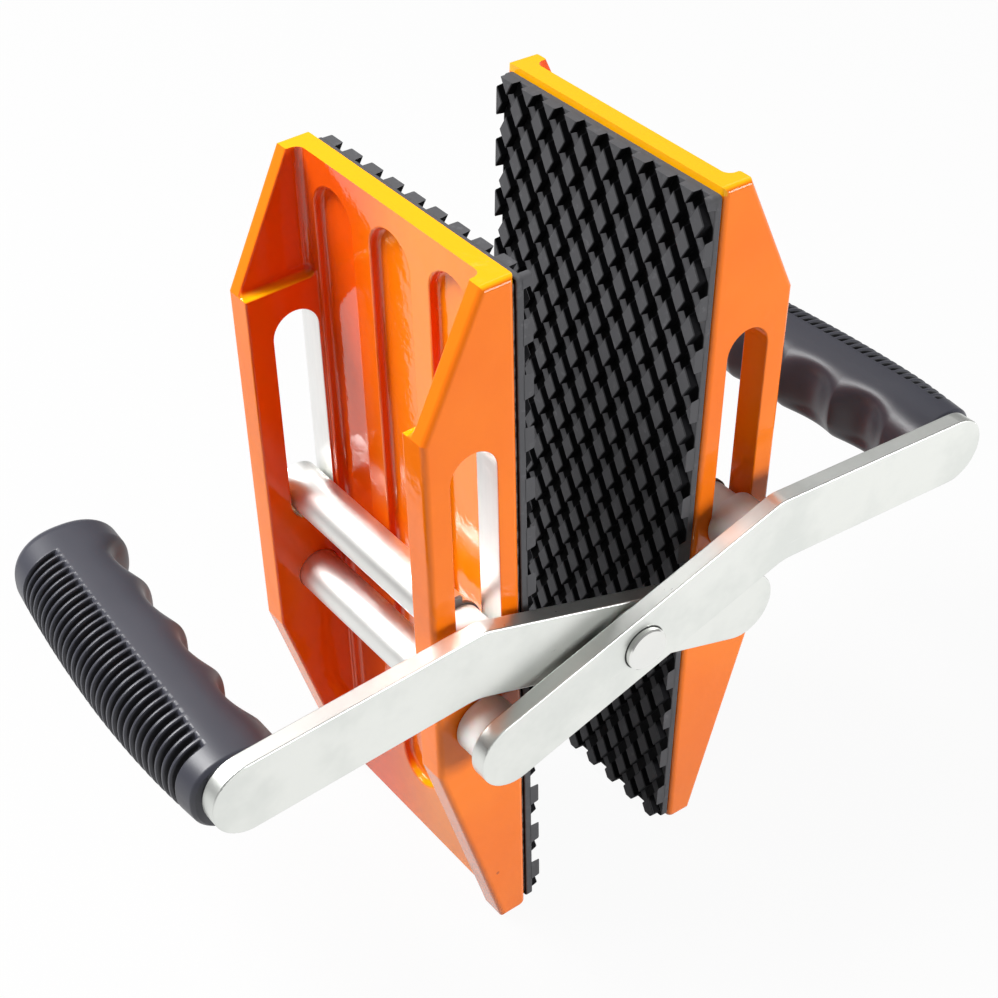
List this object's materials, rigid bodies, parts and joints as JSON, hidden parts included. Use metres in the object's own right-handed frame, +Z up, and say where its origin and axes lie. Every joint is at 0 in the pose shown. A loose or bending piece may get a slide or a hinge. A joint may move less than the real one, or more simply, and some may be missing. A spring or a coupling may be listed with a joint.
{
  "type": "slab lifting clamp",
  "caption": "Hand-carried slab clamp: orange channel jaws with diamond-tread rubber pads, crossed steel levers and moulded grips that draw the jaws together as it is lifted.",
  "frame": {"origin": "middle of the bounding box on the plane the jaws stand on", "axes": "+X from the left jaw to the right jaw, -Y the side the levers lie on, +Z up"},
  "size_m": [0.3084, 0.1402, 0.2552],
  "materials": {
    "orange_coat": "cast aluminium under glossy orange powder coat",
    "pad_rubber": "matt black rubber",
    "bond": "dark cured adhesive",
    "zinc_steel": "bright zinc-plated flat steel",
    "rod_steel": "bright zinc-plated turned steel",
    "spring_steel": "dark oiled spring steel",
    "nylon": "white nylon",
    "grip_plastic": "satin dark grey moulded plastic"
  },
  "bodies": {
    "left_jaw": {"left_jaw": "orange_coat", "left_pad_bond": "bond", "left_pad": "pad_rubber"},
    "outer_lever": {"outer_lever_bar": "zinc_steel", "right_handle_core": "rod_steel", "right_grip": "grip_plastic", "right_slide_rod": "rod_steel", "right_slide_bush": "nylon", "right_slide_ring": "spring_steel", "left_pivot_rod": "rod_steel", "left_pivot_bush": "nylon", "left_pivot_ring": "spring_steel", "centre_pin": "zinc_steel", "lever_washer": "nylon"},
    "inner_lever": {"inner_lever_bar": "zinc_steel", "left_handle_core": "rod_steel", "left_grip": "grip_plastic", "left_slide_rod": "rod_steel", "left_slide_bush": "nylon", "left_slide_ring": "spring_steel", "right_pivot_rod": "rod_steel", "right_pivot_bush": "nylon", "right_pivot_ring": "spring_steel"},
    "right_jaw": {"right_jaw": "orange_coat", "right_pad_bond": "bond", "right_pad": "pad_rubber"}
  },
  "joints": [
    {"name": "outer_lever_turn", "type": "hinge", "parent": "left_jaw", "child": "outer_lever", "pos_m": [-0.0503, 0, 0.09835], "axis": [0, -1, 0], "range_deg": [0, 48.2]},
    {"name": "lever_cross_turn", "type": "hinge", "parent": "outer_lever", "child": "inner_lever", "pos_m": [0, 0, 0.1142], "axis": [0, 1, 0], "range_deg": [0, 94]},
    {"name": "right_jaw_turn", "type": "hinge", "parent": "inner_lever", "child": "right_jaw", "pos_m": [0.0503, 0, 0.09835], "axis": [0, -1, 0], "range_deg": [0, 48.2]}
  ],
  "couplings": [
    {"joint": "lever_cross_turn", "follows": "outer_lever_turn", "ratio": 1.9502},
    {"joint": "right_jaw_turn", "follows": "outer_lever_turn", "ratio": 1}
  ]
}
